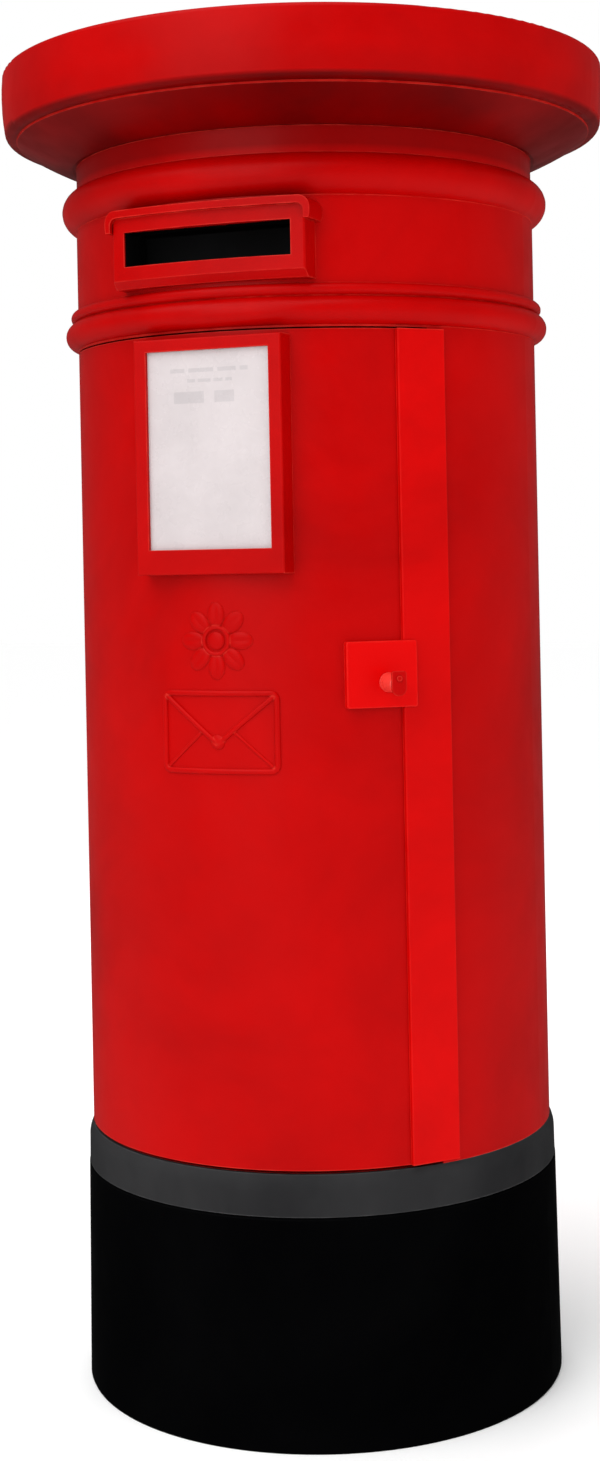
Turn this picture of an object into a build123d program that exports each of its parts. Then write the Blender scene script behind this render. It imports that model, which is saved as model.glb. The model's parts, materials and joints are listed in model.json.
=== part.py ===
from build123d import *
import math
import os

# A free-standing cast-iron street mailbox (pillar box), in millimetres.
# +Z is up, the origin is on the ground on the pillar's axis, and the letter slot and the door face -Y.
# An angle is measured round the axis from the front (-Y) towards +X, in degrees.

# ---------------------------------------------------------------- driving dimensions
total_height = 1600.0
body_radius = 280.0
wall = 14.0
body_inner = body_radius - wall

base_top = 260.0
collar_top = 306.0
opening_top = 1243.0
ring_top = 1291.0
bead_bottom = 1389.0
body_top = 1436.0

base_radius_top = 286.0
base_radius_bottom = 289.0
foot_radius = 275.0
foot_inner = 252.0
flange_inner = 226.0
flange_thickness = 14.0
base_flange = 16.0

cap_radius = 367.6
rim_bottom = 1510.0
soffit_bottom = 1466.0
neck_radius = 279.0

door_thickness = 12.0
door_inner = body_radius - door_thickness
door_bottom = 310.0
door_top = 1241.0
hinge_angle = -57.0
hinge_radius = body_radius - door_thickness
hinge_jamb = -60.6
door_edge = 51.0
latch_jamb = 51.4
bead_radius = door_thickness
pin_radius = 5.0
running_gap = 0.08
press_gap = 0.02

strip_angle = 49.3
strip_half_width = 30.2
strip_face = 284.0

lock_angle = 38.0
lock_plate_face = 287.0
lock_plate_half = (41.0, 37.0)
lock_plate_z = 857.0
key_x = 7.5
key_z = 848.0
boss_radius = 10.0
boss_end = 321.0

notice_face = 293.0
notice_outer = (90.0, 971.0, 1235.0)
notice_window = (75.0, 999.0, 1221.0)
notice_pocket = (81.0, 993.0, 1226.0)
notice_lip = 5.0

slot_half_width = 102.0
slot_z = (1319.5, 1358.5)
surround_half_width = 118.0
surround_z = (slot_z[0] - 24, slot_z[1] + 21)
surround_face = 295.6
surround_curve = 600.0
neck_half_width = 112.0
neck_z = (slot_z[0] - 12, slot_z[1] + 12)
neck_end = 235.0

stop_inner = 260.0
stop_outer = 265.9

parts = {}


# ---------------------------------------------------------------- helpers
def place(angle, radius):
    """The (x, y) of a point at that angle and radius."""
    turn = math.radians(angle)
    return radius * math.sin(turn), -radius * math.cos(turn)


def ring(inner, outer, low, high):
    """A full ring about the axis."""
    tube = Cylinder(outer, high - low) - Cylinder(inner, 2 * (high - low))
    return Pos(0, 0, (low + high) / 2) * tube


def sector(inner, outer, low, high, start, end):
    """The part of a ring from one angle to another."""
    section = Pos((inner + outer) / 2, 0, (low + high) / 2) * (Plane.XZ * Rectangle(outer - inner, high - low))
    return Rot(0, 0, start - 90) * revolve(section, Axis.Z, end - start)


def block(x0, x1, y0, y1, z0, z1):
    """A box from its six limits."""
    middle = Pos((x0 + x1) / 2, (y0 + y1) / 2, (z0 + z1) / 2)
    return middle * Box(x1 - x0, y1 - y0, z1 - z0)


def rod_z(x, y, z0, z1, radius):
    """A round bar along Z."""
    return Pos(x, y, (z0 + z1) / 2) * Cylinder(radius, z1 - z0)


def rod_y(x, z, y0, y1, radius):
    """A round bar along Y."""
    return Pos(x, (y0 + y1) / 2, z) * Rot(90, 0, 0) * Cylinder(radius, y1 - y0)


def rod_x(y, z, x0, x1, radius):
    """A round bar along X."""
    return Pos((x0 + x1) / 2, y, z) * Rot(0, 90, 0) * Cylinder(radius, x1 - x0)


def hexagon_z(x, y, z0, z1, across_flats):
    """A hexagonal bolt head or nut along Z."""
    outline = RegularPolygon(across_flats / 2, 6, major_radius=False)
    return Pos(x, y, z0) * extrude(outline, z1 - z0)


def turned(edges):
    """The solid that closed edges in the XZ plane sweep in a full turn about the axis."""
    return revolve(make_face(edges), Axis.Z, 360)


def flat(r, z):
    """A profile point: radius and height."""
    return (r, 0, z)


def profile_line(*points):
    """Straight profile edges through radius and height pairs."""
    return Polyline(*[flat(*p) for p in points])


def profile_arc(start, middle, end):
    """A round profile edge through three radius and height pairs."""
    return ThreePointArc(flat(*start), flat(*middle), flat(*end))


def dome(edge, apex):
    """The profile edge of a round dome, from its apex on the axis out to its edge."""
    rise = apex - edge[1]
    sphere = (edge[0] ** 2 + rise ** 2) / (2 * rise)
    half = math.asin(edge[0] / sphere) / 2
    return profile_arc((0, apex), (sphere * math.sin(half), apex - sphere * (1 - math.cos(half))), edge)


def cut(shape, *tools):
    """shape less every tool."""
    for tool in tools:
        shape = shape - tool
    return shape


def join(*shapes):
    """One shape fused from several."""
    whole = shapes[0]
    for shape in shapes[1:]:
        whole = whole + shape
    return whole


def around(angles, make):
    """The same thing made at each angle."""
    return [Rot(0, 0, angle) * make for angle in angles]


def add(name, *solids):
    """Keeps one named node, of one solid or several separate ones."""
    found = [s for shape in solids for s in shape.solids()]
    parts[name] = found[0] if len(found) == 1 else Compound(children=found)


hinge_x, hinge_y = place(hinge_angle, hinge_radius)
at_lock = Rot(0, 0, lock_angle)
casing_core = Cylinder(body_radius, 4 * total_height)


# ---------------------------------------------------------------- fastener layout
cap_bolt_circle = 246.0
cap_bolt_angles = [45, 135, 225, 315]
base_bolt_circle = 239.0
base_bolt_angles = [0, 60, 120, 180, 240, 300]
bolt_radius = 6.0
bolt_hole = 6.6
head_height = 8.0
nut_height = 10.0
across_flats = 19.0
anchor_circle = 236.0
anchor_angles = [45, 135, 225, 315]
anchor_hole = 9.0
cap_flange_top = body_top + flange_thickness
body_flange_bottom = body_top - base_flange


def bolt_set(circle, angles, head_side, head_z, nut_z):
    """Hexagon bolts and nuts on a circle; head_side is +1 with the heads on top."""
    shank_low, shank_high = sorted((head_z, nut_z + head_side * -nut_height - head_side * 3))
    head = sorted((head_z, head_z + head_side * head_height))
    nut = sorted((nut_z, nut_z - head_side * nut_height))
    bolt = rod_z(0, -circle, shank_low, shank_high, bolt_radius) + hexagon_z(0, -circle, *head, across_flats)
    nut_solid = hexagon_z(0, -circle, *nut, across_flats) - rod_z(0, -circle, 0, total_height, bolt_radius + 0.05)
    return around(angles, bolt), around(angles, nut_solid)


# ---------------------------------------------------------------- the standing casing
def body_casing():
    """One casting: foot flange, cylinder with its door opening, two mouldings and the top flange."""
    edges = [
        profile_line((flange_inner, base_top), (foot_radius, base_top), (foot_radius, collar_top),
                     (body_radius, collar_top), (body_radius, 1245)),
        profile_arc((body_radius, 1245), (295, 1261), (283, 1277)),
        profile_arc((283, 1277), (288.5, 1284), (body_radius, ring_top)),
        profile_line((body_radius, ring_top), (body_radius, bead_bottom)),
        profile_arc((body_radius, bead_bottom), (297, 1412), (body_radius, body_top)),
        profile_line((body_radius, body_top), (flange_inner, body_top), (flange_inner, body_flange_bottom),
                     (body_inner, body_flange_bottom), (body_inner, 1258), (250, 1258), (250, opening_top),
                     (body_inner, opening_top), (body_inner, collar_top), (foot_inner, collar_top),
                     (foot_inner, base_top + flange_thickness), (flange_inner, base_top + flange_thickness),
                     (flange_inner, base_top)),
    ]
    doorway = sector(stop_inner, 300, collar_top, opening_top, hinge_jamb, latch_jamb)
    mouth = block(-neck_half_width - 0.6, neck_half_width + 0.6, -300, -200, neck_z[0] - 0.6, neck_z[1] + 0.6)
    pin_bore = pin_radius + press_gap
    bores = [rod_z(hinge_x, hinge_y, collar_top - 30, collar_top, pin_bore),
             rod_z(hinge_x, hinge_y, opening_top, opening_top + 32, pin_bore)]
    cap_holes = around(cap_bolt_angles, rod_z(0, -cap_bolt_circle, body_top - 30, body_top + 10, bolt_hole))
    foot_holes = around(base_bolt_angles, rod_z(0, -base_bolt_circle, base_top - 10, base_top + 20, bolt_hole))
    return cut(turned(edges), doorway, mouth, *bores, *cap_holes, *foot_holes, *keeper_screws(0.05))


def roof_cap():
    """The overhanging roof: shallow dome, deep rim, coved soffit, neck and bolting flange."""
    edges = [
        dome((360, 1580), total_height),
        profile_arc((360, 1580), (364.8, 1578.2), (366.6, 1573.5)),
        profile_arc((366.6, 1573.5), (cap_radius, 1545), (364.6, rim_bottom)),
        profile_arc((364.6, rim_bottom), (361.6, 1503), (354, 1500)),
        profile_line((354, 1500), (350, 1500), (350, 1498)),
        profile_arc((350, 1498), (316, 1479.5), (284, soffit_bottom)),
        profile_line((284, soffit_bottom), (neck_radius, soffit_bottom), (neck_radius, body_top),
                     (flange_inner, body_top), (flange_inner, cap_flange_top), (body_inner, cap_flange_top),
                     (body_inner, 1474), (338, 1512), (351, 1522), (351, 1563)),
        dome((351, 1563), 1586),
        profile_line((0, 1586), (0, total_height)),
    ]
    holes = around(cap_bolt_angles, rod_z(0, -cap_bolt_circle, body_top - 10, body_top + 20, bolt_hole))
    return cut(turned(edges), *holes)


def base_collar():
    """The ring that covers the joint between the casing's foot and the base."""
    edges = [
        profile_line((foot_radius + 0.2, collar_top), (foot_radius + 0.2, base_top), (285.4, base_top),
                     (285, collar_top - 18)),
        profile_arc((285, collar_top - 18), (283.7, collar_top - 8), (body_radius, collar_top)),
        profile_line((body_radius, collar_top), (foot_radius + 0.2, collar_top)),
    ]
    return turned(edges)


def plinth_base():
    """The hollow base casting, with a top flange for the casing and an inward foot flange for ground anchors."""
    edges = profile_line((200, 0), (287.5, 0), (base_radius_bottom, 3), (base_radius_top, base_top - 3), (283, base_top),
                         (flange_inner, base_top), (flange_inner, base_top - base_flange),
                         (268, base_top - base_flange), (268, base_flange), (200, base_flange), (200, 0))
    top_holes = around(base_bolt_angles, rod_z(0, -base_bolt_circle, base_top - 25, base_top + 10, bolt_hole))
    anchor_holes = around(anchor_angles, rod_z(0, -anchor_circle, -10, 30, anchor_hole))
    return cut(turned([edges]), *top_holes, *anchor_holes)


def door_stop_frame():
    """The rebate that the shut door closes against: latch side, top and bottom, open at the hinge."""
    latch_side = sector(stop_inner, stop_outer, collar_top, opening_top, 49, 56)
    top = sector(stop_inner, stop_outer, 1235, opening_top, -52.3, 56)
    bottom = sector(stop_inner, stop_outer, collar_top, collar_top + 14, -52.3, 56)
    button_gap = block(-26, 26, -stop_outer - 5, -stop_inner + 15, 1230, opening_top - 2.6)
    return cut(join(latch_side, top, bottom), button_gap, *keeper_screws(0.05))


# ---------------------------------------------------------------- letter slot
sill, lintel = slot_z
rod_y_at = -226.0
rod_z_at = lintel + 15
frame_back = -neck_end + 3


def bowed(shape, face):
    """shape with its front bowed to a large radius, face mm in front of the axis at the middle."""
    bow = Pos(0, surround_curve - face, lintel) * Cylinder(surround_curve, 200)
    return shape & bow


def surround_screw(x, z, grow=0.0):
    """A screw that clamps the flap frame to the surround from inside."""
    return rod_y(x, z, -neck_end - 14, frame_back + 0.1, 2.0 + grow) + rod_y(x, z, frame_back, frame_back + 2.4, 4.0)


surround_screw_places = [(x, z) for x in (-107, 107) for z in (sill - 7, lintel + 7)]
chute_screw_places = [(x, sill - 24) for x in (-80, 0, 80)]


def aperture_surround():
    """The bowed block round the slot, with its rain hood and the neck that passes through the wall."""
    half = surround_half_width
    plate = bowed(block(-half, half, -310, -240, *surround_z), surround_face)
    foot = plate.faces().sort_by(Axis.Z)[0].edges().sort_by(Axis.Y)[0]
    plate = chamfer(foot, 8.5)
    plate = fillet(plate.edges().filter_by(Axis.Z).group_by(Axis.Y)[0], 3)
    outer = Pos(0, surround_z[1] - 12) * RectangleRounded(2 * half + 15, 32, 13)
    inner = Pos(0, surround_z[1] - 24) * RectangleRounded(2 * half + 1, 39, 8)
    hood = extrude(Plane.XZ * (outer - inner), 320)
    hood = bowed(hood & block(-half - 10, half + 10, -320, -200, lintel, surround_z[1] + 10), surround_face + 6)
    outside = (plate + hood) - casing_core
    neck = block(-neck_half_width, neck_half_width, -284, -neck_end, *neck_z)
    slot = block(-slot_half_width, slot_half_width, -330, -200, *slot_z)
    flare = block(-slot_half_width - 3, slot_half_width + 3, -330, -288, slot_z[0] - 3, slot_z[1] + 3)
    holes = [surround_screw(x, z, 0.05) for x, z in surround_screw_places]
    whole = cut(outside + neck, slot, *holes)
    return whole


def flap_frame():
    """The inner plate that clamps the surround, with two lugs that carry the flap's rod."""
    plate = block(-124, 124, -neck_end, frame_back, sill - 33, lintel + 26)
    window = block(-104, 104, -neck_end - 5, frame_back + 5, sill - 2, lintel + 2)
    lugs = [block(x, x + 6, frame_back, -219, rod_z_at - 8, rod_z_at + 9) for x in (-119, 113)]
    rod_hole = rod_x(rod_y_at, rod_z_at, -130, 130, 3.0 + press_gap)
    holes = [surround_screw(x, z, 0.05) for x, z in surround_screw_places]
    holes += [chute_screw(x, z, 0.05) for x, z in chute_screw_places]
    return cut(join(plate, *lugs) - window, rod_hole, *holes)


def slot_flap():
    """The gravity flap behind the slot: a plate hung on a rolled knuckle."""
    knuckle = rod_x(rod_y_at, rod_z_at, -112, 112, 5.0)
    plate = block(-108, 108, rod_y_at - 1, rod_y_at + 1, sill - 6, rod_z_at)
    lip = block(-108, 108, rod_y_at - 1, rod_y_at + 5, sill - 8, sill - 6)
    return join(knuckle, plate, lip) - rod_x(rod_y_at, rod_z_at, -130, 130, 3.0 + running_gap)


def chute_screw(x, z, grow=0.0):
    """A screw that holds the chute's flange to the flap frame."""
    return rod_y(x, z, -neck_end + 0.4, -229.9, 2.0 + grow) + rod_y(x, z, -230, -227.8, 4.0)


def letter_chute():
    """Bent sheet that carries letters down and back, clear of the door."""
    side = Plane.YZ
    top = sill - 17
    end = top - 98
    floor_outline = Polyline((-232, top), (-232, top + 2.4), (-60, end + 2.4), (-60, end), (-232, top))
    cheek_outline = Polyline((-229, top - 1.7), (-229, top + 44), (-205, top + 44), (-60, end + 42), (-60, end),
                             (-229, top - 1.7))
    floor = Pos(-112, 0, 0) * extrude(side * make_face(floor_outline), 224)
    cheek = extrude(side * make_face(cheek_outline), 2)
    flange = block(-112, 112, -232, -230, top - 14, top + 2)
    holes = [chute_screw(x, z, 0.05) for x, z in chute_screw_places]
    return cut(join(floor, Pos(-112, 0, 0) * cheek, Pos(110, 0, 0) * cheek, flange), *holes)


# ---------------------------------------------------------------- door
strip_rivet_z = [345, 500, 655, 960, 1060, 1150, 1215]


def strip_rivet(z):
    """A stud set blind in the back of the closing strip and riveted over inside the door."""
    shank = rod_y(-18, z, -strip_face + 4, -262, 3.0)
    tail = rod_y(-18, z, -266.2, -263.5, 5.0)
    return Rot(0, 0, strip_angle) * join(shank, tail)


def button_screw(z, grow=0.0):
    """The shouldered screw that a turn button pivots on."""
    shank = rod_y(0, z, -276, -260.5, 2.0 + grow)
    return shank + rod_y(0, z, -260.5, -258.5, 4.2)


button_places = {"upper": notice_pocket[2] + 7.5, "lower": notice_pocket[1] - 7.5}
frame_screw_places = [(x, z) for x in (-85.5, 85.5) for z in (1010, 1110, 1210)]


def frame_screw(x, z, grow=0.0):
    """A screw from inside the door into the notice frame's edge."""
    return rod_y(x, z, -286, -254, 2.0 + grow) + rod_y(x, z, -254, -251.5, 3.8)


def door_leaf():
    """The curved cast door: round hinge edge on two pins, notice window, lock pad and keyway."""
    leaf = sector(door_inner, body_radius, door_bottom, door_top, hinge_angle, door_edge)
    bead = rod_z(hinge_x, hinge_y, door_bottom, door_top, bead_radius)
    pad = at_lock * (block(-43, 44, -272, -258, key_z - 42, key_z + 52) & Cylinder(door_inner + 4, 4 * total_height))
    button_pads = [rod_y(0, z, -270, -264, 6.5) for z in button_places.values()]
    pocket, low, high = notice_pocket
    window = block(-pocket, pocket, -300, -240, low, high)
    keyway = at_lock * rod_y(key_x, key_z, -300, -250, 7.0)
    pin_bore = pin_radius + running_gap
    bores = [rod_z(hinge_x, hinge_y, door_bottom - 6, door_bottom + 30, pin_bore),
             rod_z(hinge_x, hinge_y, door_top - 30, door_top + 9, pin_bore)]
    screws = [frame_screw(x, z, 0.05) for x, z in frame_screw_places]
    screws += [button_screw(z, 0.0) for z in button_places.values()]
    screws += [strip_rivet(z) for z in strip_rivet_z]
    screws += lock_screws(0.05)
    return cut(join(leaf, bead, pad, *button_pads), window, keyway, *bores, *screws)


def closing_strip():
    """The flat bar down the door's closing edge that laps over the gap."""
    half = strip_half_width
    bar = Rot(0, 0, strip_angle) * block(-half, half, -strip_face, -266, door_bottom, door_top)
    outer = (bar.edges() | Axis.Z).sort_by(lambda e: -math.hypot(e.center().X, e.center().Y))[:2]
    bar = fillet(outer, 1.5) - casing_core
    over_jamb = sector(200, body_radius + 0.8, 200, 1300, latch_jamb - 0.2, 70)
    return cut(bar, over_jamb, *[strip_rivet(z) for z in strip_rivet_z])


def notice_frame():
    """The flat-fronted frame that stands off the curved door and holds the collection notice."""
    half, low, high = notice_outer
    frame = block(-half, half, -notice_face, -250, low, high)
    front = frame.faces().sort_by(Axis.Y)[0]
    frame = fillet(front.edges(), 2.0) - casing_core
    inner, inner_low, inner_high = notice_window
    window = block(-inner, inner, -310, -240, inner_low, inner_high)
    pocket, pocket_low, pocket_high = notice_pocket
    recess = block(-pocket, pocket, -notice_face + notice_lip, -240, pocket_low, pocket_high)
    return cut(frame, window, recess, *[frame_screw(x, z, 0.05) for x, z in frame_screw_places])


def notice_plate():
    """The enamelled plate that shows in the frame's window."""
    half, low, high = notice_pocket
    back = -notice_face + notice_lip
    return block(-half + 0.5, half - 0.5, back, back + 2, low + 0.5, high - 0.5)


def notice_backing_pan():
    """The shallow pressed pan behind the notice plate, held by the two turn buttons."""
    half, low, high = notice_pocket
    front = -notice_face + notice_lip + 2
    pan = block(-half + 0.5, half - 0.5, front, -264, low + 0.5, high - 0.5)
    hollow = block(-half + 2.5, half - 2.5, front + 2, -250, low + 2.5, high - 2.5)
    return pan - hollow


def turn_button(z, towards):
    """A small bar that turns on its screw; at rest it laps over the pan's edge."""
    near, far = sorted((z - towards * 6, z + towards * 18))
    bar = block(-6, 6, -263.7, -260.7, near, far)
    bar = fillet(bar.edges() | Axis.Y, 4)
    return bar - rod_y(0, z, -270, -255, 2.0 + running_gap)


def door_emblem():
    """A generic relief: an envelope below an eight-petalled rosette."""
    low, high, half, border = 748.0, 842.0, 72.0, 7.0
    rosette_z = 897.0
    middle = low + 36
    envelope = block(-half, half, -300, -270, low, high)
    opening = block(-half + border, half - border, -310, -260, low + border, high - border)
    outer_v = Polyline((-half, 0, high), (-half, 0, high - 9), (0, 0, middle - 4), (half, 0, high - 9),
                       (half, 0, high), (half - 7, 0, high), (0, 0, middle + 5), (-half + 7, 0, high), (-half, 0, high))
    flap = Pos(0, -270, 0) * extrude(make_face(outer_v), 30, dir=(0, -1, 0))
    petals = [rod_y(31 * math.cos(a), rosette_z + 31 * math.sin(a), -300, -270, 13.0)
              for a in (math.pi / 4 * k for k in range(8))]
    eye = rod_y(0, rosette_z, -300, -270, 24) - rod_y(0, rosette_z, -310, -260, 16)
    centre = rod_y(0, rosette_z, -300, -270, 11)
    shell = ring(body_radius, body_radius + 3, 700, 960)
    lower = join(envelope - opening, flap) & shell
    upper = join(eye, *petals) & shell
    return lower, upper, centre & shell


# ---------------------------------------------------------------- lock, made at the front and turned to its place
case_x = (-40.0, 44.0)
case_z = (key_z - 37, key_z + 47)
case_back = -258.0
case_depth = 24.0
crank_radius = 11.0
crank_angle = 55.0
crank_pin = 2.5
bolt_travel = 2 * crank_radius * math.sin(math.radians(crank_angle))
bolt_z = (key_z + 2, key_z + 26)
bolt_y = (-249.8, -241.8)
lever_pivot = (-30.0, key_z - 7)
lock_screw_places = [(x, z) for x in (case_x[0] + 5, case_x[1] - 5) for z in (case_z[0] + 5, case_z[1] - 5)]


def lock_screws(grow=0.0):
    """The four long screws that hold the lock to the door's pad."""
    return [at_lock * (rod_y(x, z, -266, -231, 2.0 + grow) + rod_y(x, z, -231, -228.8, 3.8))
            for x, z in lock_screw_places]


def lock_plate():
    """The flat raised plate on the outside of the door, which laps onto the closing strip."""
    half_x, half_z = lock_plate_half
    plate = block(-half_x, half_x, -lock_plate_face, -262, lock_plate_z - half_z, lock_plate_z + half_z)
    plate = fillet(plate.edges() | Axis.Y, 2.5)
    front = plate.faces().sort_by(Axis.Y)[0]
    plate = fillet(front.edges(), 1.2) - casing_core
    keyway = rod_y(key_x, key_z, -300, -250, 6.0)
    return (at_lock * (plate - keyway)) - parts["closing_strip"]


def keyhole_boss():
    """The round nose with the keyhole in its end."""
    nose = Pos(key_x, -(boss_end + lock_plate_face) / 2, key_z) * Rot(90, 0, 0) * Cone(
        boss_radius + 1, boss_radius - 0.5, boss_end - lock_plate_face)
    rim = nose.edges().sort_by(Axis.Y)[0]
    nose = fillet(rim, 1.0)
    spigot = rod_y(key_x, key_z, -lock_plate_face - 1, -272, 5.9)
    bore = rod_y(key_x, key_z - 2, -330, -260, 2.2)
    bit_slot = block(key_x - 1.1, key_x + 1.1, -330, -260, key_z - 7, key_z - 2)
    rivet = rod_y(key_x, key_z + 6, -boss_end - 5, -boss_end + 8, 1.5)
    return at_lock * cut(nose + spigot, bore, bit_slot, rivet & block(-50, 50, -330, -310, key_z - 50, key_z + 50))


def keyhole_cover():
    """The drop that hangs over the keyhole: square shoulders and a round lower end."""
    outline = Pos(key_x, key_z + 0.4) * (RectangleRounded(17, 27.2, 3.0) + Pos(0, -5.1) * Circle(8.5))
    rounded = Pos(key_x, key_z - 8.8) * Rectangle(17, 9) - Pos(key_x, key_z - 4.7) * Circle(8.5)
    drop = extrude(Plane.XZ * (outline - rounded), 3)
    drop = Pos(0, -boss_end - 0.3, 0) * drop
    pivot = rod_y(key_x, key_z + 6, -340, -300, 1.5 + running_gap)
    return at_lock * (drop - pivot)


def cover_rivet():
    """The pin that the keyhole cover swings on."""
    pin = rod_y(key_x, key_z + 6, -boss_end - 3.6, -boss_end + 8, 1.5)
    head = rod_y(key_x, key_z + 6, -boss_end - 4.8, -boss_end - 3.6, 3.0)
    return at_lock * (pin + head)


def lock_case():
    """The cast tray that holds the works, open towards the inside of the door."""
    x0, x1 = case_x
    z0, z1 = case_z
    front = case_back + case_depth
    tray = block(x0, x1, case_back, front, z0, z1) - block(x0 + 3, x1 - 3, case_back + 3, front + 5, z0 + 3, z1 - 3)
    posts = [rod_y(x, z, case_back, front, 4.5) for x, z in lock_screw_places]
    bolt_slot = block(x1 - 8, x1 + 5, bolt_y[0] - 0.2, bolt_y[1] + 0.2, bolt_z[0] - 0.2, bolt_z[1] + 0.2)
    keyway = rod_y(key_x, key_z, -270, -250, 6.0 + running_gap)
    return at_lock * cut(join(tray, *posts), bolt_slot, keyway) - join(*lock_screws(0.05))


def lock_cover():
    """The flat lid on the lock case."""
    lid = block(*case_x, case_back + case_depth, case_back + case_depth + 3, *case_z)
    return (at_lock * lid) - join(*lock_screws(0.05))


def crank_point(turn):
    """Where the crank pin stands at that turn from the top."""
    angle = math.radians(turn)
    return key_x + crank_radius * math.sin(angle), key_z + crank_radius * math.cos(angle)


def lock_cam():
    """The disc that the key turns, with the pin that drives the bolt."""
    disc = rod_y(key_x, key_z, case_back + 3.2, bolt_y[0] - 0.4, crank_radius + crank_pin + 1.5)
    hub = rod_y(key_x, key_z, case_back + 0.2, case_back + 3.4, 6.0)
    pin_x, pin_z = crank_point(-crank_angle)
    pin = rod_y(pin_x, pin_z, bolt_y[0] - 1, bolt_y[1], crank_pin)
    key_hole = rod_y(key_x, key_z - 2, -262, -249, 2.2) + block(
        key_x - 1.1, key_x + 1.1, -262, -249, key_z - 7, key_z - 2)
    return at_lock * (join(disc, hub, pin) - key_hole)


def lock_bolt():
    """The sliding bolt, notched for the crank pin; it stands withdrawn."""
    pin_x, _ = crank_point(-crank_angle)
    bar = block(-28, 48, *bolt_y, *bolt_z)
    nose = (bar.faces().sort_by(Axis.X)[-1]).edges()
    bar = fillet(nose, 1.0)
    play = 0.75
    notch = block(pin_x - crank_pin - play, pin_x + crank_pin + play, -255, -235,
                  bolt_z[0] - 1, key_z + crank_radius + crank_pin + 0.7)
    return at_lock * (bar - notch)


def lock_levers():
    """Three thin levers on one pivot, which the key's bit lifts."""
    pivot_x, pivot_z = lever_pivot
    levers = []
    for y in (-241.2, -239.4, -237.6):
        arm = block(pivot_x, 16, y, y + 1.4, pivot_z - 4.5, pivot_z + 3.5)
        eye = rod_y(pivot_x, pivot_z, y, y + 1.4, 5.0)
        levers.append(at_lock * ((arm + eye) - rod_y(pivot_x, pivot_z, -260, -230, 2.0 + running_gap)))
    return levers


def lever_pin():
    """The post in the case that the levers turn on."""
    pivot_x, pivot_z = lever_pivot
    return at_lock * rod_y(pivot_x, pivot_z, case_back + 3, case_back + case_depth, 2.0)


keeper_screw_z = [bolt_z[0] - 8, bolt_z[1] + 8]


def keeper_screws(grow=0.0):
    """Two screws through the keeper and the stop frame into the wall."""
    return [at_lock * (rod_y(67, z, -264, -232, 2.0 + grow) + rod_y(67, z, -232, -229.8, 4.0))
            for z in keeper_screw_z]


def bolt_keeper():
    """The block on the casing that the bolt shoots into."""
    body = block(55, 78, -264, -232, bolt_z[0] - 13, bolt_z[1] + 13) & Cylinder(stop_inner - 0.05, 4 * total_height)
    pocket = block(50, 72, bolt_y[0] - 0.5, bolt_y[1] + 0.5, bolt_z[0] - 0.5, bolt_z[1] + 0.5)
    return (at_lock * (body - pocket)) - join(*keeper_screws(0.05))


# ---------------------------------------------------------------- inside
guard_radius = 215.0
hoop_wire = 4.0
upright_wire = 2.5
hooked_hoops = [430.0, 700.0]
free_hoops = [344.0, 520.0, 610.0]
hook_angles = [-64.0, 60.0]


hoop_lengths = 5
weld_gap = 0.01


def hoop(z, start, end):
    """One horizontal hoop of the guard, welded up from short bent lengths of wire."""
    section = Pos(guard_radius, 0, z) * (Plane.XZ * Circle(hoop_wire))
    step = (end - start) / hoop_lengths
    return [Rot(0, 0, start + step * k - 90) * revolve(section, Axis.Z, step - weld_gap) for k in range(hoop_lengths)]


def mail_guard():
    """The wire guard that holds the letters back when the door is open."""
    hoops = [length for z in hooked_hoops for length in hoop(z, -67, 63)]
    hoops += [length for z in free_hoops for length in hoop(z, -60, 56)]
    upright_radius = guard_radius + hoop_wire + upright_wire + 0.03
    spacing = 9.5
    uprights = []
    for k in range(13):
        x, y = place(-59 + spacing * k, upright_radius)
        uprights.append(rod_z(x, y, 332, 712, upright_wire))
    return hoops + uprights


def guard_hook(angle, z):
    """A flat arm from the wall, with an open notch that a hoop drops into."""
    arm = block(-2.5, 2.5, -body_inner - 5, -205, z - 24, z + 12) & Cylinder(body_inner, 4 * total_height)
    notch = block(-5, 5, -guard_radius - hoop_wire - 0.4, -guard_radius + hoop_wire + 0.4, z - hoop_wire - 0.4, z + 20)
    return Rot(0, 0, angle) * (arm - notch)


def floor_plate():
    """The loose steel floor that the letters fall on, with a finger hole."""
    plate = Pos(0, 0, collar_top + 3) * Cylinder(254.8, 6)
    return plate - rod_z(0, 150, collar_top - 5, collar_top + 15, 14)


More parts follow.
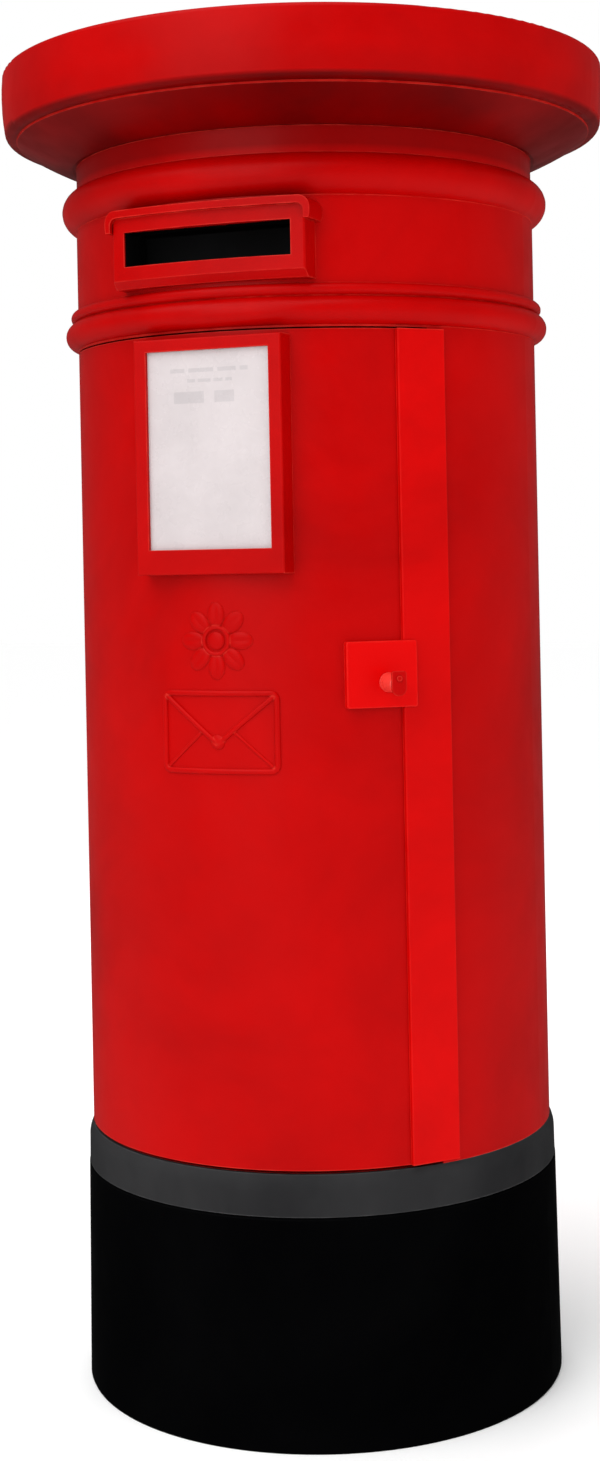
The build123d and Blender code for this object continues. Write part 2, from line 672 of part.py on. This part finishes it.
# ---------------------------------------------------------------- assembly
def build():
    """Makes every node."""
    add("body_casing", body_casing())
    add("roof_cap", roof_cap())
    cap_bolts, cap_nuts = bolt_set(cap_bolt_circle, cap_bolt_angles, -1, body_flange_bottom, cap_flange_top)
    add("roof_bolts", *cap_bolts)
    add("roof_nuts", *cap_nuts)
    add("base_collar", base_collar())
    add("plinth_base", plinth_base())
    foot_bolts, foot_nuts = bolt_set(base_bolt_circle, base_bolt_angles, 1, base_top + flange_thickness,
                                     base_top - base_flange)
    add("base_bolts", *foot_bolts)
    add("base_nuts", *foot_nuts)
    add("door_stop_frame", door_stop_frame())
    add("floor_plate", floor_plate())

    add("aperture_surround", aperture_surround())
    add("flap_frame", flap_frame())
    add("surround_screws", *[surround_screw(x, z) for x, z in surround_screw_places])
    add("flap_rod", rod_x(rod_y_at, rod_z_at, -119, 119, 3.0))
    add("slot_flap", slot_flap())
    add("letter_chute", letter_chute())
    add("chute_screws", *[chute_screw(x, z) for x, z in chute_screw_places])

    add("lower_hinge_pin", rod_z(hinge_x, hinge_y, collar_top - 30, door_bottom + 28, pin_radius))
    add("upper_hinge_pin", rod_z(hinge_x, hinge_y, door_top - 28, opening_top + 32, pin_radius))
    washer = rod_z(hinge_x, hinge_y, collar_top, door_bottom - 0.4, 11)
    washer = washer - rod_z(hinge_x, hinge_y, collar_top - 5, door_bottom + 5, 5.2)
    add("thrust_washer", washer)

    add("door_leaf", door_leaf())
    add("closing_strip", closing_strip())
    add("strip_rivets", *[strip_rivet(z) for z in strip_rivet_z])
    add("notice_frame", notice_frame())
    add("notice_frame_screws", *[frame_screw(x, z) for x, z in frame_screw_places])
    add("notice_plate", notice_plate())
    add("notice_backing_pan", notice_backing_pan())
    add("notice_button_upper", turn_button(button_places["upper"], -1))
    add("notice_button_lower", turn_button(button_places["lower"], 1))
    add("button_screws", *[button_screw(z) for z in button_places.values()])
    add("door_emblem", *door_emblem())

    add("lock_plate", lock_plate())
    add("keyhole_boss", keyhole_boss())
    add("keyhole_cover", keyhole_cover())
    add("cover_rivet", cover_rivet())
    add("lock_case", lock_case())
    add("lock_cover", lock_cover())
    add("lock_screws", *lock_screws())
    add("lock_cam", lock_cam())
    add("lock_bolt", lock_bolt())
    add("lock_levers", *lock_levers())
    add("lever_pin", lever_pin())
    add("bolt_keeper", bolt_keeper())
    add("keeper_screws", *keeper_screws())

    add("mail_guard", *mail_guard())
    add("guard_hooks", *[guard_hook(angle, z) for angle in hook_angles for z in hooked_hoops])


build()
os.makedirs("parts", exist_ok=True)
for name, shape in parts.items():
    export_step(shape, f"parts/{name}.step")
print(len(parts), "nodes; bolt travel", round(bolt_travel, 3))
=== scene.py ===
"""Looks of the pillar mailbox: camera, studio, procedural materials and the finer pieces, in metres."""

import json
import math

import bmesh
import bpy
from mathutils import Matrix, Vector


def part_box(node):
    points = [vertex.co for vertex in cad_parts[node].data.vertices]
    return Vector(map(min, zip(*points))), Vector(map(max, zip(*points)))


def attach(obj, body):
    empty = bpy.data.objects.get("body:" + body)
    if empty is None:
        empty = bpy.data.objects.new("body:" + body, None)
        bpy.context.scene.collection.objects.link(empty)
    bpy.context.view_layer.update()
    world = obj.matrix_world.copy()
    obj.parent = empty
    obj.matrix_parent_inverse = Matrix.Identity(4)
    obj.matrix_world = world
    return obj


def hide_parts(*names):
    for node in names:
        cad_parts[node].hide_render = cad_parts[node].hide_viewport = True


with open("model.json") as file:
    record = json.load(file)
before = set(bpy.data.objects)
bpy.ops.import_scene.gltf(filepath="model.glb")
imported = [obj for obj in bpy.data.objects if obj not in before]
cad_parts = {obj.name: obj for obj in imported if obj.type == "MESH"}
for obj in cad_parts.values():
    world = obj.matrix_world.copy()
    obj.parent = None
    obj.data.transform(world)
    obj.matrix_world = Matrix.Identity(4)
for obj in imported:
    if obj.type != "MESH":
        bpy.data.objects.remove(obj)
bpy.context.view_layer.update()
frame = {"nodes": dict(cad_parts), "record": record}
nodes = frame["nodes"]

# ---------------------------------------------------------------- measures taken from the frame
roof_low, roof_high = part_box("roof_cap")
plate_low, plate_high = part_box("notice_plate")
openings = {entry["name"]: entry["box_m"] for entry in frame["record"]["physics"]["openings"]}
slot_low, slot_high = openings["letter_slot"]
BODY_RADIUS = 0.280
INNER_RADIUS = 0.2665
PRIMER_TOP = 1.42

# ---------------------------------------------------------------- camera
CAMERA_AZIMUTH = math.radians(22.5)
CAMERA_DISTANCE = 2.616
EYE_HEIGHT = 0.989
FOCAL_SHARE = 1.448
HORIZON_SHIFT = -0.1192
SIDE_SHIFT = -0.0074
ROLL = math.radians(-1.13)
SENSOR = 36.0


def make_camera():
    """A level camera at the viewing angle of the reference, with a slight roll."""
    data = bpy.data.cameras.new("camera")
    data.sensor_fit = "AUTO"
    data.sensor_width = SENSOR
    data.lens = SENSOR * FOCAL_SHARE
    data.shift_x = SIDE_SHIFT
    data.shift_y = HORIZON_SHIFT
    data.clip_end = 60
    camera = bpy.data.objects.new("camera", data)
    bpy.context.scene.collection.objects.link(camera)
    turn = Matrix.Rotation(CAMERA_AZIMUTH, 4, "Z")
    level = Matrix.Rotation(math.pi / 2, 4, "X")
    roll = Matrix.Rotation(ROLL, 4, "Z")
    place = Matrix.Translation((CAMERA_DISTANCE * math.sin(CAMERA_AZIMUTH),
                                -CAMERA_DISTANCE * math.cos(CAMERA_AZIMUTH), EYE_HEIGHT))
    camera.matrix_world = place @ turn @ level @ roll
    bpy.context.scene.camera = camera


# ---------------------------------------------------------------- studio
SURROUND_LIGHT = 0.36
REFLECTED_LIGHT = 0.12
BACKDROP_WHITE = 1.0


def area_light(name, azimuth, distance, height, size, power, aim=0.85):
    """A soft square lamp at an azimuth round the object, aimed at a height on its axis."""
    data = bpy.data.lights.new(name, "AREA")
    data.shape = "RECTANGLE"
    data.size, data.size_y = size
    data.energy = power
    lamp = bpy.data.objects.new(name, data)
    bpy.context.scene.collection.objects.link(lamp)
    turn = math.radians(azimuth)
    here = (distance * math.sin(turn), -distance * math.cos(turn), height)
    tilt = math.atan2(height - aim, distance)
    lamp.matrix_world = (Matrix.Translation(here) @ Matrix.Rotation(turn, 4, "Z")
                         @ Matrix.Rotation(math.pi / 2 - tilt, 4, "X"))
    return lamp


def make_studio():
    """A pale floor, a pale surround and soft lamps."""
    bpy.ops.mesh.primitive_plane_add(size=40)
    floor = bpy.context.object
    floor.name = "studio_floor"
    floor.visible_glossy = False
    paint = bpy.data.materials.new("studio_floor")
    paint.use_nodes = True
    shader = paint.node_tree.nodes["Principled BSDF"]
    shader.inputs["Base Color"].default_value = (0.93, 0.93, 0.93, 1)
    shader.inputs["Roughness"].default_value = 0.9
    shader.inputs["Specular IOR Level"].default_value = 0.1
    floor.data.materials.append(paint)

    world = bpy.data.worlds.new("studio_world")
    bpy.context.scene.world = world
    world.use_nodes = True
    sky = world.node_tree.nodes["Background"]
    path = world.node_tree.nodes.new("ShaderNodeLightPath")
    level = SURROUND_LIGHT
    for kind, strength in (("Is Glossy Ray", REFLECTED_LIGHT), ("Is Camera Ray", BACKDROP_WHITE)):
        switch = world.node_tree.nodes.new("ShaderNodeMix")
        world.node_tree.links.new(path.outputs[kind], switch.inputs[0])
        if isinstance(level, float):
            switch.inputs[2].default_value = level
        else:
            world.node_tree.links.new(level, switch.inputs[2])
        switch.inputs[3].default_value = strength
        level = switch.outputs[0]
    world.node_tree.links.new(level, sky.inputs["Strength"])
    sky.inputs["Color"].default_value = (1, 1, 1, 1)
    area_light("key_lamp", -8, 3.8, 2.2, (2.6, 2.6), 50)
    for side_lamp in (area_light("fill_lamp", 70, 3.6, 1.7, (2.4, 2.6), 38),
                      area_light("rim_lamp", 200, 3.4, 2.6, (2.2, 2.2), 45)):
        side_lamp.visible_glossy = False
    sun = bpy.data.lights.new("sun_lamp", "SUN")
    sun.energy = 2.6
    sun.angle = math.radians(70)
    lamp = bpy.data.objects.new("sun_lamp", sun)
    bpy.context.scene.collection.objects.link(lamp)
    lamp.rotation_euler = (math.radians(24), math.radians(-10), 0)
    bpy.context.scene.view_settings.view_transform = "Standard"


# ---------------------------------------------------------------- node helpers
class Tree:
    """Short calls for building one material's nodes."""

    def __init__(self, name):
        self.material = bpy.data.materials.new(name)
        self.material.use_nodes = True
        self.tree = self.material.node_tree
        self.shader = self.tree.nodes["Principled BSDF"]
        self.place = self.node("ShaderNodeTexCoord").outputs["Object"]

    def node(self, kind, **settings):
        made = self.tree.nodes.new(kind)
        for key, value in settings.items():
            setattr(made, key, value)
        return made

    def feed(self, value, socket):
        """Links a socket, or sets a plain value."""
        if isinstance(value, bpy.types.NodeSocket):
            self.tree.links.new(value, socket)
        else:
            socket.default_value = value

    def math(self, operation, a, b=0.0, c=0.0, clamp=False):
        made = self.node("ShaderNodeMath", operation=operation, use_clamp=clamp)
        for value, socket in zip((a, b, c), made.inputs):
            self.feed(value, socket)
        return made.outputs[0]

    def noise(self, scale, detail=4.0, roughness=0.55, place=None, distortion=0.0, stretch=None):
        made = self.node("ShaderNodeTexNoise")
        source = place or self.place
        if stretch:
            mapping = self.node("ShaderNodeMapping")
            mapping.inputs["Scale"].default_value = stretch
            self.feed(source, mapping.inputs["Vector"])
            source = mapping.outputs[0]
        self.feed(source, made.inputs["Vector"])
        made.inputs["Scale"].default_value = scale
        made.inputs["Detail"].default_value = detail
        made.inputs["Roughness"].default_value = roughness
        made.inputs["Distortion"].default_value = distortion
        return made.outputs["Fac"]

    def span(self, value, low, high, to_low=0.0, to_high=1.0):
        """value mapped from one span to another, clamped."""
        made = self.node("ShaderNodeMapRange", clamp=True)
        for key, given in (("Value", value), ("From Min", low), ("From Max", high),
                           ("To Min", to_low), ("To Max", to_high)):
            self.feed(given, made.inputs[key])
        return made.outputs[0]

    def mix(self, factor, a, b, blend="MIX"):
        """Two colours mixed."""
        made = self.node("ShaderNodeMix", data_type="RGBA", blend_type=blend)
        self.feed(factor, made.inputs[0])
        for value, socket in ((a, made.inputs[6]), (b, made.inputs[7])):
            self.feed((*value, 1) if isinstance(value, tuple) and len(value) == 3 else value, socket)
        return made.outputs[2]

    def separate(self, place=None):
        made = self.node("ShaderNodeSeparateXYZ")
        self.feed(place or self.place, made.inputs[0])
        return made.outputs

    def bump(self, height, distance, strength=1.0, normal=None):
        made = self.node("ShaderNodeBump")
        made.inputs["Distance"].default_value = distance
        made.inputs["Strength"].default_value = strength
        self.feed(height, made.inputs["Height"])
        if normal:
            self.feed(normal, made.inputs["Normal"])
        return made.outputs[0]

    def edge(self, radius):
        """1 on the outer edges of the shape and 0 on its flats."""
        bevel = self.node("ShaderNodeBevel", samples=6)
        bevel.inputs["Radius"].default_value = radius
        geometry = self.node("ShaderNodeNewGeometry")
        dot = self.node("ShaderNodeVectorMath", operation="DOT_PRODUCT")
        self.feed(bevel.outputs[0], dot.inputs[0])
        self.feed(geometry.outputs["Normal"], dot.inputs[1])
        return self.span(dot.outputs["Value"], 0.995, 0.9)

    def set(self, name, value):
        self.feed(value, self.shader.inputs[name])
        return self


# ---------------------------------------------------------------- relief emblem
ENVELOPE_HEIGHT = 0.094
ROSETTE_RADIUS = 0.044
SUNK = 0.0012
LINE_INSET = 0.0035
PETALS = 8


def on_door(x, z, lift):
    """The point of the door's curved face at that x and height, raised by lift."""
    turn = math.asin(x / BODY_RADIUS)
    return Vector(((BODY_RADIUS + lift) * math.sin(turn), -(BODY_RADIUS + lift) * math.cos(turn), z))


def dome(mesh, centre, half_length, half_width, angle, rise, rings=7, spokes=28, groove=0.0):
    """A closed oval dome on the door, with an optional groove along its length."""
    def point(share, spoke):
        turn = 2 * math.pi * spoke / spokes
        along = share * half_length * math.cos(turn)
        across = share * half_width * math.sin(turn)
        lift = rise * math.sqrt(max(0.0, 1 - share ** 2.4))
        lift -= groove * math.exp(-(across / (0.28 * half_width)) ** 2) * (1 - share ** 2)
        x = centre[0] + along * math.cos(angle) - across * math.sin(angle)
        z = centre[1] + along * math.sin(angle) + across * math.cos(angle)
        return on_door(x, z, lift)

    top = mesh.verts.new(point(0.0, 0))
    loops = [[mesh.verts.new(point(math.sin(math.pi / 2 * k / rings), spoke)) for spoke in range(spokes)]
             for k in range(1, rings + 1)]
    foot = [mesh.verts.new(on_door(v.co.x, v.co.z, -SUNK)) for v in loops[-1]]
    loops.append(foot)
    for k in range(spokes):
        nxt = (k + 1) % spokes
        mesh.faces.new((top, loops[0][k], loops[0][nxt]))
        for inner, outer in zip(loops, loops[1:]):
            mesh.faces.new((inner[k], outer[k], outer[nxt], inner[nxt]))
    mesh.faces.new(list(reversed(foot)))


def rib(mesh, path, half_width, rise, closed=True, steps=8):
    """A half-round raised bar that follows a path of (x, z) points on the door."""
    count = len(path)
    sections = []
    for k, (x, z) in enumerate(path):
        if closed:
            before, after = Vector(path[k - 1]), Vector(path[(k + 1) % count])
        else:
            before, after = Vector(path[max(k - 1, 0)]), Vector(path[min(k + 1, count - 1)])
        heading = (after - before).normalized()
        side = Vector((-heading.y, heading.x))
        section = []
        for step in range(steps + 1):
            share = math.cos(math.pi * step / steps)
            lift = rise * math.sqrt(max(0.0, 1 - abs(share) ** 2.6))
            place = Vector((x, z)) + side * share * half_width
            section.append(mesh.verts.new(on_door(place.x, place.y, lift)))
        for share in (-1, 1):
            place = Vector((x, z)) + side * share * half_width
            section.append(mesh.verts.new(on_door(place.x, place.y, -SUNK)))
        sections.append(section)
    pairs = list(zip(sections, sections[1:])) + ([(sections[-1], sections[0])] if closed else [])
    width = steps + 3
    for one, two in pairs:
        for k in range(width):
            nxt = (k + 1) % width
            mesh.faces.new((one[k], one[nxt], two[nxt], two[k]))
    if not closed:
        mesh.faces.new(sections[0])
        mesh.faces.new(list(reversed(sections[-1])))


def rounded_path(half_x, low, high, radius, corner_steps=8, side_steps=14):
    """The closed outline of a rectangle with round corners, as (x, z) points."""
    corners = ((half_x - radius, high - radius, 0), (-half_x + radius, high - radius, 90),
               (-half_x + radius, low + radius, 180), (half_x - radius, low + radius, 270))
    steps = [90 * k / corner_steps for k in range(corner_steps + 1)]
    arcs = []
    for cx, cz, start in corners:
        turns = [math.radians(start + step) for step in steps]
        arcs.append([(cx + radius * math.cos(turn), cz + radius * math.sin(turn)) for turn in turns])
    path = []
    for arc, following in zip(arcs, arcs[1:] + arcs[:1]):
        path += arc
        here, there = Vector(arc[-1]), Vector(following[0])
        path += [tuple(here.lerp(there, k / side_steps)) for k in range(1, side_steps)]
    return path


def make_emblem():
    """The generic relief on the door: an envelope below an eight-petalled rosette, in rounded forms."""
    low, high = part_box("door_emblem")
    envelope_low = low[2]
    envelope_high = low[2] + ENVELOPE_HEIGHT
    half = (high[0] - low[0]) / 2
    rosette = (0.0, high[2] - ROSETTE_RADIUS)
    mesh = bmesh.new()
    reach = half - LINE_INSET
    outline = rounded_path(reach, envelope_low + LINE_INSET, envelope_high - LINE_INSET, 0.007)
    rib(mesh, outline, 0.0034, 0.0028)
    tip = (0.0, envelope_low + 0.36 * ENVELOPE_HEIGHT)
    for side in (-1, 1):
        start = Vector((side * (reach - 0.002), envelope_high - 0.006))
        run = [tuple(start.lerp(Vector(tip), k / 16)) for k in range(17)]
        rib(mesh, run, 0.0030, 0.0027 - 0.0002 * side, closed=False)
        start = Vector((side * (reach - 0.002), envelope_low + 0.006))
        end = Vector((side * 0.020, envelope_low + 0.50 * ENVELOPE_HEIGHT))
        run = [tuple(start.lerp(end, k / 12)) for k in range(13)]
        rib(mesh, run, 0.0020, 0.0016, closed=False)
    dome(mesh, (0.0, tip[1] + 0.002), 0.0085, 0.0085, 0.0, 0.0029)
    for petal in range(PETALS):
        turn = 2 * math.pi / PETALS * petal
        middle = 0.66 * ROSETTE_RADIUS
        dome(mesh, (rosette[0] + middle * math.cos(turn), rosette[1] + middle * math.sin(turn)),
             0.33 * ROSETTE_RADIUS, 0.235 * ROSETTE_RADIUS, turn, 0.0027, groove=0.0009)
    ring_radius = 0.34 * ROSETTE_RADIUS
    circle = [(rosette[0] + ring_radius * math.cos(2 * math.pi * k / 40),
               rosette[1] + ring_radius * math.sin(2 * math.pi * k / 40)) for k in range(40)]
    rib(mesh, circle, 0.0026, 0.0027)
    dome(mesh, rosette, 0.0105, 0.0105, 0.0, 0.0029)
    bmesh.ops.recalc_face_normals(mesh, faces=mesh.faces)
    data = bpy.data.meshes.new("emblem_relief")
    mesh.to_mesh(data)
    mesh.free()
    data.polygons.foreach_set("use_smooth", [True] * len(data.polygons))
    piece = bpy.data.objects.new("emblem_relief", data)
    bpy.context.scene.collection.objects.link(piece)
    data.materials.append(finishes["red_enamel"])
    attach(piece, "door")
    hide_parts("door_emblem")


# ---------------------------------------------------------------- materials
def enamel(name, colour, deep, wear_and_highlight_colour, gloss=0.36, sheen=0.06, painted_shade_height=None, shaded_mouth=None,
           primed=True):
    """Thick paint brushed over cast iron: a little cloudy, and thin on its edges.
    The shade height is the height above which faces that look down get painted shade, and a band just
    below that height gets painted shade too.
    The shaded mouth is (half width, lowest z, highest z, front y) of an opening whose inside is painted
    black as painted shade.
    primed paint is a dull red oxide primer, a little rusty, on the inside of the box."""
    m = Tree(name)
    x, y, z = m.separate()
    cloud = m.noise(3.4, 5, 0.62, distortion=0.5)
    mottle = m.noise(13, 4, 0.6)
    body = m.mix(m.span(cloud, 0.40, 0.66), colour, deep)
    body = m.mix(m.span(mottle, 0.45, 0.75, 0, 0.2), body, deep)
    # Painted shade: faces that look down under the cap are darkened, with some random variation.
    if painted_shade_height:
        facing = m.separate(m.node("ShaderNodeNewGeometry").outputs["Normal"])[2]
        soffit_shade_mask = m.math("MULTIPLY", m.span(facing, -0.05, -0.6), m.span(z, painted_shade_height - 0.01, painted_shade_height))
        soffit_shade = m.math("MULTIPLY", soffit_shade_mask, m.span(m.noise(5.5, 4), 0.3, 0.7, 0.62, 0.95))
        body = m.mix(soffit_shade, body, tuple(c * 0.22 for c in deep))
        # Painted shade: a darker band across the bottom of the cap.
        neck_shade = m.math("MULTIPLY", m.span(z, painted_shade_height - 0.028, painted_shade_height - 0.020), m.span(z, painted_shade_height + 0.002, painted_shade_height))
        body = m.mix(m.math("MULTIPLY", neck_shade, 0.6), body, tuple(c * 0.35 for c in deep))
    # Lighter colour on the edges: partly worn paint, partly a painted highlight where rounded edges catch
    # the light.
    edge = m.edge(0.0022)
    wear_and_edge_highlight = m.math("MULTIPLY", edge, m.span(m.noise(60, 3), 0.35, 0.6, 0.15, 0.6))
    body = m.mix(wear_and_edge_highlight, body, wear_and_highlight_colour)
    radius = m.math("POWER", m.math("ADD", m.math("MULTIPLY", x, x), m.math("MULTIPLY", y, y)), 0.5)
    inside = m.math("MULTIPLY", m.span(radius, INNER_RADIUS + 0.003, INNER_RADIUS),
                    m.span(z, PRIMER_TOP, PRIMER_TOP - 0.02))
    if primed:
        rust = m.span(m.noise(7, 5, 0.65), 0.42, 0.68, 0, 0.8)
        body = m.mix(inside, body, m.mix(rust, (0.16, 0.045, 0.03), (0.085, 0.030, 0.018)))
    # Painted shade: the throat of the letter slot is painted near black.
    if shaded_mouth:
        half, low, high, front = shaded_mouth
        across = m.math("COMPARE", x, 0.0, half)
        level = m.math("COMPARE", z, (low + high) / 2, (high - low) / 2)
        mouth_shade = m.math("MULTIPLY", m.math("MULTIPLY", across, level), m.math("GREATER_THAN", y, front))
        body = m.mix(mouth_shade, body, (0.004, 0.004, 0.004))
    m.set("Base Color", body)
    m.set("Roughness", m.math("ADD", m.span(m.noise(22, 4), 0.3, 0.7, gloss - 0.04, gloss + 0.08),
                              m.math("MULTIPLY", inside, 0.3)))
    m.shader.inputs["Specular IOR Level"].default_value = sheen
    casting = m.bump(m.noise(16, 2, 0.45), 0.0012, 0.14)
    brushed = m.bump(m.noise(150, 1, 0.4, stretch=(1, 1, 0.3)), 0.00008, 0.2, casting)
    m.set("Normal", brushed)
    return m.material


def steel(name, colour, roughness):
    """Dull plated steel with faint blotches and fine scratches."""
    m = Tree(name)
    blotch = m.noise(70, 5, 0.6)
    scratch = m.noise(700, 2, 0.6, stretch=(1, 1, 0.06))
    dark = tuple(c * 0.55 for c in colour)
    m.set("Base Color", m.mix(m.span(blotch, 0.35, 0.7), colour, dark))
    m.set("Roughness", m.span(scratch, 0.3, 0.7, roughness - 0.08, roughness + 0.14))
    m.shader.inputs["Metallic"].default_value = 1.0
    m.set("Normal", m.bump(scratch, 0.0001, 0.3))
    return m.material


def galvanised(name):
    """Zinc-coated sheet with its crystal spangle."""
    m = Tree(name)
    cells = m.node("ShaderNodeTexVoronoi")
    m.feed(m.place, cells.inputs["Vector"])
    cells.inputs["Scale"].default_value = 85
    shade = m.node("ShaderNodeSeparateColor")
    m.feed(cells.outputs["Color"], shade.inputs[0])
    spangle = m.mix(shade.outputs[0], (0.33, 0.34, 0.35), (0.55, 0.56, 0.57))
    stain = m.span(m.noise(9, 5, 0.65), 0.5, 0.75, 0, 0.5)
    m.set("Base Color", m.mix(stain, spangle, (0.3, 0.29, 0.27)))
    m.set("Roughness", m.span(shade.outputs[1], 0, 1, 0.34, 0.55))
    m.shader.inputs["Metallic"].default_value = 0.9
    m.set("Normal", m.bump(m.noise(160, 3), 0.0002, 0.25))
    return m.material


NOTICE_LINES = (
    (0.885, 0.010, ((-0.235, 0.055), (-0.055, 0.095), (0.14, 0.07), (0.27, 0.03))),
    (0.835, 0.008, ((-0.13, 0.03), (-0.03, 0.05), (0.075, 0.035), (0.155, 0.025))),
    (0.755, 0.028, ((-0.15, 0.115), (0.12, 0.075))),
)


def notice(name, low, high):
    """Vitreous enamel plate with plain grey bars where a notice has its lines."""
    m = Tree(name)
    x, y, z = m.separate()
    white = m.mix(m.span(m.noise(14, 4), 0.35, 0.7), (0.55, 0.495, 0.50), (0.50, 0.45, 0.455))
    height = high[2] - low[2]
    width = high[0] - low[0]
    ink = 0.0
    for share, thick, words in NOTICE_LINES:
        line = m.math("COMPARE", z, low[2] + share * height, thick * height)
        for middle, half in words:
            reach = m.math("COMPARE", x, middle * width, half * width)
            ink = m.math("MAXIMUM", ink, m.math("MULTIPLY", line, reach))
    soft = m.math("MULTIPLY", ink, 0.32)
    m.set("Base Color", m.mix(soft, white, (0.30, 0.28, 0.29)))
    m.set("Roughness", m.span(m.noise(50, 4), 0.3, 0.7, 0.22, 0.34))
    m.set("Normal", m.bump(m.noise(40, 3), 0.0006, 0.2))
    return m.material


RED = (0.44, 0.0003, 0.0003)
DEEP_RED = (0.345, 0.0001, 0.0002)
# A lighter copy of the red paint: painted light for faces turned to the lamps.
LIT_RED = (0.58, 0.0006, 0.0006)
WORN_AND_LIT_EDGE_RED = (0.70, 0.045, 0.03)
BLACK = (0.0012, 0.0012, 0.0014)
finishes = {
    "red_enamel": enamel("red_enamel", RED, DEEP_RED, WORN_AND_LIT_EDGE_RED),
    # The collar's flat dark grey is a painted reflection of the surround on the sloping shoulder of the
    # black base.
    "grey_enamel": enamel("grey_enamel", (0.026, 0.026, 0.027), (0.015, 0.015, 0.016), (0.08, 0.08, 0.08),
                          0.55, 0.05, primed=False),
    "black_enamel": enamel("black_enamel", BLACK, (0.0006, 0.0006, 0.0008), (0.003, 0.003, 0.003),
                           0.6, 0.01, primed=False),
    "plain_steel": steel("plain_steel", (0.42, 0.42, 0.43), 0.4),
    "galvanised_sheet": galvanised("galvanised_sheet"),
    "black_iron": enamel("black_iron", (0.008, 0.008, 0.009), (0.004, 0.004, 0.004), (0.03, 0.03, 0.03),
                         0.5, 0.1, primed=False),
    "brass": steel("brass", (0.60, 0.42, 0.15), 0.36),
    "notice_enamel": notice("notice_enamel", plate_low, plate_high),
}
sub_finishes = {
    "roof_cap": enamel("roof_enamel", RED, DEEP_RED, WORN_AND_LIT_EDGE_RED, painted_shade_height=roof_low[2] + 0.030),
    # The strip and its flush rivets take the lighter red: painted light on a flat face turned to the
    # lamps.
    "closing_strip": enamel("strip_lit_enamel", LIT_RED, RED, WORN_AND_LIT_EDGE_RED),
    "strip_rivets": enamel("rivet_lit_enamel", LIT_RED, RED, WORN_AND_LIT_EDGE_RED),
    # The lock plate is painted a lighter red: painted light on the raised plate.
    "lock_plate": enamel("lock_plate_lit_enamel", (0.60, 0.0006, 0.0006), LIT_RED, (0.8, 0.07, 0.05)),
    # The knob's pinkish light red is a painted highlight, brighter than the paint around it.
    "keyhole_boss": enamel("boss_highlight_enamel", (0.85, 0.07, 0.055), (0.7, 0.03, 0.02), (0.95, 0.3, 0.27),
                           0.25, 0.5),
    "aperture_surround": enamel("slot_enamel", RED, DEEP_RED, WORN_AND_LIT_EDGE_RED,
                                shaded_mouth=(0.1026, slot_low[2] - 0.001, slot_high[2] + 0.001, -0.284)),
}


def dress(node, finish):
    """Gives a CAD node its finish."""
    piece = nodes[node]
    piece.data.materials.clear()
    piece.data.materials.append(finish)


for entry in frame["record"]["subparts"]:
    dress(entry["node"], finishes[entry["material_slot"]])

for node, finish in sub_finishes.items():
    dress(node, finish)
make_emblem()
make_camera()
make_studio()
